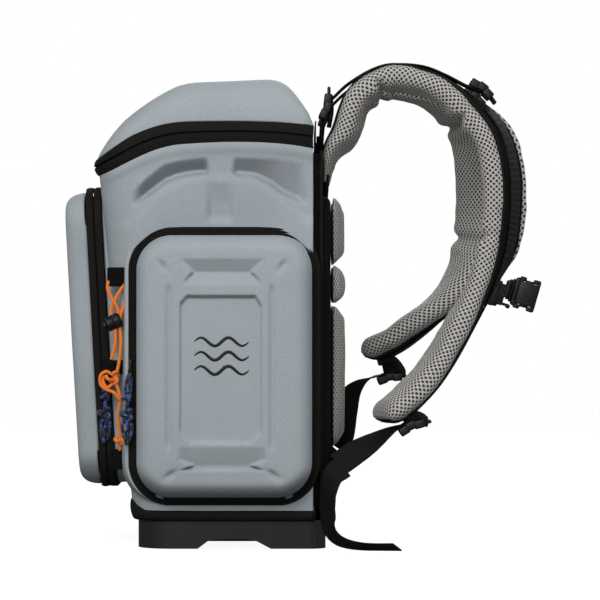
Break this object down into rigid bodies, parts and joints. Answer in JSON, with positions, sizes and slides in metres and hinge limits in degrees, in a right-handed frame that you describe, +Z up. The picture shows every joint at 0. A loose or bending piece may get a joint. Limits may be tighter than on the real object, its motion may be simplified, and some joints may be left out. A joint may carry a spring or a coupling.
{
  "type": "tackle backpack",
  "caption": "Moulded hard-shell tackle backpack with a zipped lid, two drop-down side doors, a front pocket, a plastic base and padded shoulder straps.",
  "frame": {"origin": "centre of the plastic base's underside", "axes": "+Z up, +Y towards the wearer's back, +X to the wearer's right"},
  "size_m": [0.4251, 0.4835, 0.4889],
  "materials": {
    "shell_grey": "smooth laminated knit over moulded foam",
    "lining_dark": "plain woven lining",
    "base_plastic": "fine moulded grain",
    "sheet_plastic": "plain sheet",
    "rivet_steel": "plated",
    "fabric_black": "coarse nylon weave",
    "zip_black": "ribbed zip tape with coil teeth",
    "webbing_black": "ribbed webbing",
    "mesh_grey": "air mesh with open cells over foam",
    "cord_orange": "braided sleeve over elastic",
    "cord_blue": "braided cord, black with blue flecks",
    "buckle_black": "semi-gloss acetal",
    "slider_metal": "black lacquered die casting"
  },
  "bodies": {
    "pack": {"main_shell": "shell_grey", "shell_lining": "lining_dark", "base_tray": "base_plastic", "base_binding": "fabric_black", "base_rivets": "rivet_steel", "back_frame_sheet": "sheet_plastic", "back_panel": "fabric_black", "back_pad_upper": "mesh_grey", "back_pad_middle": "mesh_grey", "back_pad_lumbar": "mesh_grey", "lid_zip_body_tape": "zip_black", "lid_hinge_strip": "fabric_black", "front_pocket_tub": "shell_grey", "front_zip_body_tape": "zip_black", "front_hinge_strip": "fabric_black", "side_zip_body_tapes": "zip_black", "side_hinge_strips": "fabric_black", "gear_loops": "webbing_black", "elastic_cords": "cord_orange", "strap_anchor_tabs": "webbing_black", "lifter_anchors": "buckle_black", "lower_anchor_tabs": "webbing_black", "right_webbing_tail": "webbing_black", "left_webbing_tail": "webbing_black"},
    "lid": {"lid_shell": "shell_grey", "lid_lining": "lining_dark", "lid_zip_lid_tape": "zip_black"},
    "front_door": {"front_cover": "shell_grey", "front_zip_cover_tape": "zip_black"},
    "right_door": {"right_door_shell": "shell_grey", "right_zip_door_tape": "zip_black"},
    "left_door": {"left_door_shell": "shell_grey", "left_zip_door_tape": "zip_black"},
    "haul": {"haul_loop": "webbing_black"},
    "lid_slider": {"lid_zip_slider": "slider_metal"},
    "front_slider": {"front_zip_slider": "slider_metal"},
    "right_slider": {"right_zip_slider": "slider_metal"},
    "left_slider": {"left_zip_slider": "slider_metal"},
    "lid_pull": {"lid_zip_pull": "cord_blue"},
    "front_pull": {"front_zip_pull": "cord_blue"},
    "right_pull": {"right_zip_pull": "cord_blue"},
    "left_pull": {"left_zip_pull": "cord_blue"},
    "right_strap": {"right_strap_pad": "mesh_grey", "right_strap_webbing": "webbing_black", "right_lifter_webbing": "webbing_black", "right_lower_lock": "buckle_black"},
    "right_webbing": {"right_lower_webbing": "webbing_black"},
    "right_sternum": {"right_sternum_slider": "webbing_black"},
    "right_buckle": {"right_sternum_buckle": "buckle_black"},
    "right_toggle": {"right_cord_lock": "buckle_black"},
    "right_button": {"right_cord_plunger": "buckle_black"},
    "left_strap": {"left_strap_pad": "mesh_grey", "left_strap_webbing": "webbing_black", "left_lifter_webbing": "webbing_black", "left_lower_lock": "buckle_black"},
    "left_webbing": {"left_lower_webbing": "webbing_black"},
    "left_sternum": {"left_sternum_slider": "webbing_black"},
    "left_buckle": {"left_sternum_buckle": "buckle_black"},
    "left_toggle": {"left_cord_lock": "buckle_black"},
    "left_button": {"left_cord_plunger": "buckle_black"}
  },
  "joints": [
    {"name": "lid_open", "type": "hinge", "parent": "pack", "child": "lid", "pos_m": [0, 0.085, 0.421], "axis": [-1, 0, 0], "range_deg": [0, 35]},
    {"name": "front_door_open", "type": "hinge", "parent": "pack", "child": "front_door", "pos_m": [0, -0.122, 0.061], "axis": [1, 0, 0], "range_deg": [0, 80]},
    {"name": "right_door_open", "type": "hinge", "parent": "pack", "child": "right_door", "pos_m": [0.146, -0.005, 0.0499], "axis": [0, 1, 0], "range_deg": [0, 85]},
    {"name": "left_door_open", "type": "hinge", "parent": "pack", "child": "left_door", "pos_m": [-0.146, -0.005, 0.0499], "axis": [0, -1, 0], "range_deg": [0, 85]},
    {"name": "right_strap_swing", "type": "hinge", "parent": "pack", "child": "right_strap", "pos_m": [0.062, 0.097, 0.395], "axis": [1, 0, 0], "range_deg": [-1, 2], "stiffness_Nm_per_rad": 2},
    {"name": "left_strap_swing", "type": "hinge", "parent": "pack", "child": "left_strap", "pos_m": [-0.062, 0.097, 0.395], "axis": [1, 0, 0], "range_deg": [-1, 2], "stiffness_Nm_per_rad": 2},
    {"name": "right_webbing_swing", "type": "hinge", "parent": "pack", "child": "right_webbing", "pos_m": [0.143, 0.113, 0.086], "axis": [1, 0, 0], "range_deg": [-1.5, 1.5]},
    {"name": "left_webbing_swing", "type": "hinge", "parent": "pack", "child": "left_webbing", "pos_m": [-0.134, 0.114, 0.099], "axis": [1, 0, 0], "range_deg": [-1.5, 1.5]},
    {"name": "haul_loop_tip", "type": "hinge", "parent": "pack", "child": "haul", "pos_m": [0, 0.0925, 0.403], "axis": [-1, 0, 0], "range_deg": [0, 55]},
    {"name": "right_sternum_height", "type": "slide", "parent": "right_strap", "child": "right_sternum", "axis": [0, -0.2756, -0.9613], "range_m": [-0.006, 0.006]},
    {"name": "right_sternum_swing", "type": "hinge", "parent": "right_sternum", "child": "right_buckle", "pos_m": [0.084, 0.28465, 0.2569], "axis": [0, 0.2756, 0.9613], "range_deg": [-15, 65]},
    {"name": "right_toggle_slide", "type": "slide", "parent": "pack", "child": "right_toggle", "axis": [0, 0, 1], "range_m": [-0.012, 0.003]},
    {"name": "right_button_press", "type": "slide", "parent": "right_toggle", "child": "right_button", "axis": [0, 0.9272, 0.3746], "range_m": [0, 0.002], "stiffness_N_per_m": 300},
    {"name": "left_sternum_height", "type": "slide", "parent": "left_strap", "child": "left_sternum", "axis": [0, -0.2756, -0.9613], "range_m": [-0.006, 0.006]},
    {"name": "left_sternum_swing", "type": "hinge", "parent": "left_sternum", "child": "left_buckle", "pos_m": [-0.084, 0.27125, 0.2569], "axis": [0, -0.2756, -0.9613], "range_deg": [-15, 65]},
    {"name": "left_toggle_slide", "type": "slide", "parent": "pack", "child": "left_toggle", "axis": [0, 0, 1], "range_m": [-0.012, 0.003]},
    {"name": "left_button_press", "type": "slide", "parent": "left_toggle", "child": "left_button", "axis": [0, 0.9272, 0.3746], "range_m": [0, 0.002], "stiffness_N_per_m": 300},
    {"name": "lid_zip_slide", "type": "slide", "parent": "pack", "child": "lid_slider", "axis": [0, 1, 0], "range_m": [-0.03, 0.03]},
    {"name": "front_zip_slide", "type": "slide", "parent": "pack", "child": "front_slider", "axis": [0, -0.0549, 0.9985], "range_m": [-0.07, 0.1]},
    {"name": "right_zip_slide", "type": "slide", "parent": "pack", "child": "right_slider", "axis": [0, 0, 1], "range_m": [-0.08, 0.08]},
    {"name": "left_zip_slide", "type": "slide", "parent": "pack", "child": "left_slider", "axis": [0, 0, 1], "range_m": [-0.08, 0.08]},
    {"name": "lid_pull_swing", "type": "hinge", "parent": "lid_slider", "child": "lid_pull", "pos_m": [-0.1538, 0, 0.403], "axis": [1, 0, 0], "range_deg": [-30, 30]},
    {"name": "front_pull_swing", "type": "hinge", "parent": "front_slider", "child": "front_pull", "pos_m": [0.1162, -0.1226, 0.172], "axis": [1, 0, 0], "range_deg": [-20, 3]},
    {"name": "right_pull_swing", "type": "hinge", "parent": "right_slider", "child": "right_pull", "pos_m": [0.1554, -0.0986, 0.172], "axis": [1, 0, 0], "range_deg": [-25, 2]},
    {"name": "left_pull_swing", "type": "hinge", "parent": "left_slider", "child": "left_pull", "pos_m": [-0.1554, -0.0986, 0.172], "axis": [1, 0, 0], "range_deg": [-25, 2]}
  ],
  "couplings": [
    {"joint": "right_webbing_swing", "follows": "right_strap_swing", "ratio": -0.49},
    {"joint": "left_webbing_swing", "follows": "left_strap_swing", "ratio": 0.25}
  ]
}
